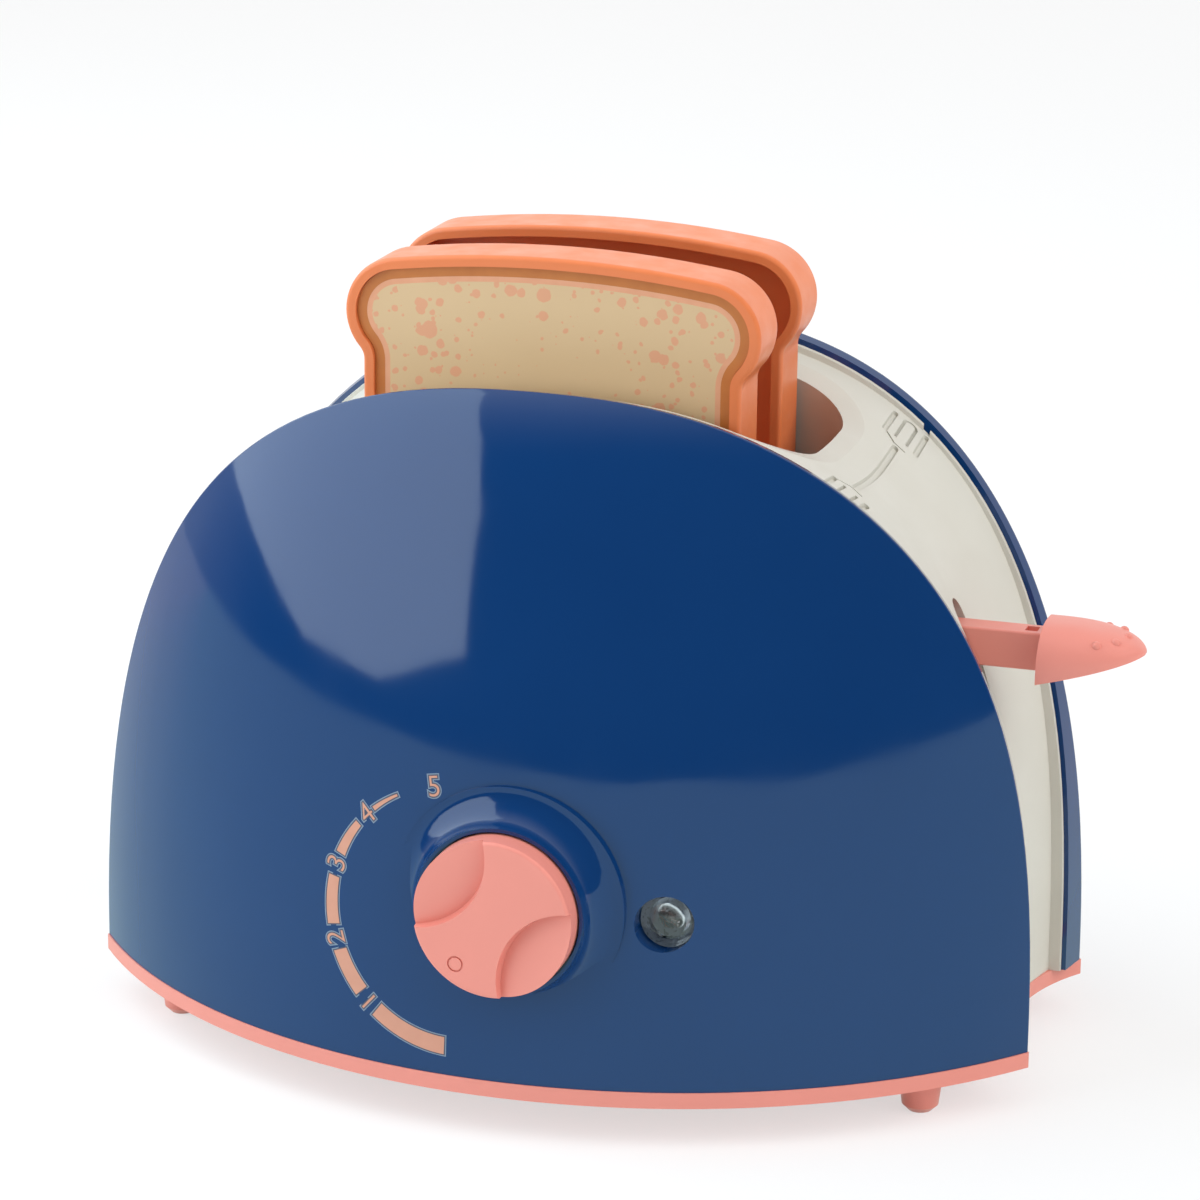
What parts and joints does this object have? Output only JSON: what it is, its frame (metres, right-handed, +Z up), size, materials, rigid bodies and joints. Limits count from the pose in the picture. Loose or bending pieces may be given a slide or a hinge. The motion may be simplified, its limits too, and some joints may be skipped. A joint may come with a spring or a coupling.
{
  "type": "toy toaster",
  "caption": "Free-standing toy pop-up toaster with bowed glossy covers, a sprung side lever, a turning dial with a lamp beside it, and lift-out toast slices.",
  "frame": {"origin": "on the surface the feet stand on, below the middle of the whole toy's box with the lever up", "axes": "+Z up, -Y out of the panel that carries the dial, +X towards the lever"},
  "size_m": [0.2384, 0.1738, 0.182],
  "materials": {
    "blue_gloss": "high gloss",
    "cream_plastic": "satin",
    "pink_plastic": "satin",
    "screw_steel": "zinc plated",
    "battery_wrap": "printed sleeve",
    "plated_steel": "nickel plated",
    "clear_plastic": "clear",
    "board_green": "solder mask",
    "black_plastic": "moulded",
    "wire_red": "sleeved wire",
    "reflector_chrome": "bright",
    "lamp_clear": "clear resin",
    "polished_steel": "drawn",
    "white_nylon": "moulded",
    "spring_steel": "drawn wire",
    "bush_brass": "turned",
    "cup_rubber": "soft",
    "toast_orange": "satin",
    "toast_card": "printed card"
  },
  "bodies": {
    "casing": {"front_cover": "blue_gloss", "rear_cover": "blue_gloss", "body_shell": "cream_plastic", "base_plate": "pink_plastic", "battery_door": "pink_plastic", "battery_door_screw": "screw_steel", "base_screws": "screw_steel", "front_cover_screws": "screw_steel", "rear_cover_screws": "screw_steel", "batteries": "battery_wrap", "battery_contacts": "plated_steel", "suction_pad": "clear_plastic", "circuit_board": "board_green", "board_parts": "black_plastic", "board_screws": "screw_steel", "leaf_switch": "black_plastic", "led_wires": "wire_red", "light_lens": "clear_plastic", "lamp_reflector": "reflector_chrome", "led_lamp": "lamp_clear", "guide_rods": "polished_steel", "dial_bush": "white_nylon", "click_spring": "plated_steel", "click_screw": "screw_steel", "return_springs": "spring_steel"},
    "carriage": {"toast_carriage": "white_nylon", "carriage_bushes": "bush_brass", "suction_cup": "cup_rubber", "lever_arm": "pink_plastic", "lever_screw": "screw_steel", "lever_handle": "pink_plastic"},
    "dial": {"dial_knob": "pink_plastic", "click_wheel": "white_nylon", "dial_washer": "plated_steel", "dial_screw": "screw_steel"},
    "front_slice": {"front_toast": "toast_orange", "front_toast_print": "toast_card"},
    "rear_slice": {"rear_toast": "toast_orange", "rear_toast_print": "toast_card"}
  },
  "joints": [
    {"name": "lever_slide", "type": "slide", "parent": "casing", "child": "carriage", "axis": [0, 0, 1], "range_m": [-0.042, 0], "stiffness_N_per_m": 100, "springref_m": 0.035, "deforming": ["return_springs"]},
    {"name": "dial_turn", "type": "hinge", "parent": "casing", "child": "dial", "pos_m": [-0.0031, -0.08095, 0.0533], "axis": [0, -1, 0], "range_deg": [-120, 20]},
    {"name": "front_slice_lift", "type": "slide", "parent": "carriage", "child": "front_slice", "axis": [0, 0, 1], "range_m": [0, 0.11]},
    {"name": "rear_slice_lift", "type": "slide", "parent": "carriage", "child": "rear_slice", "axis": [0, 0, 1], "range_m": [0, 0.11]}
  ]
}
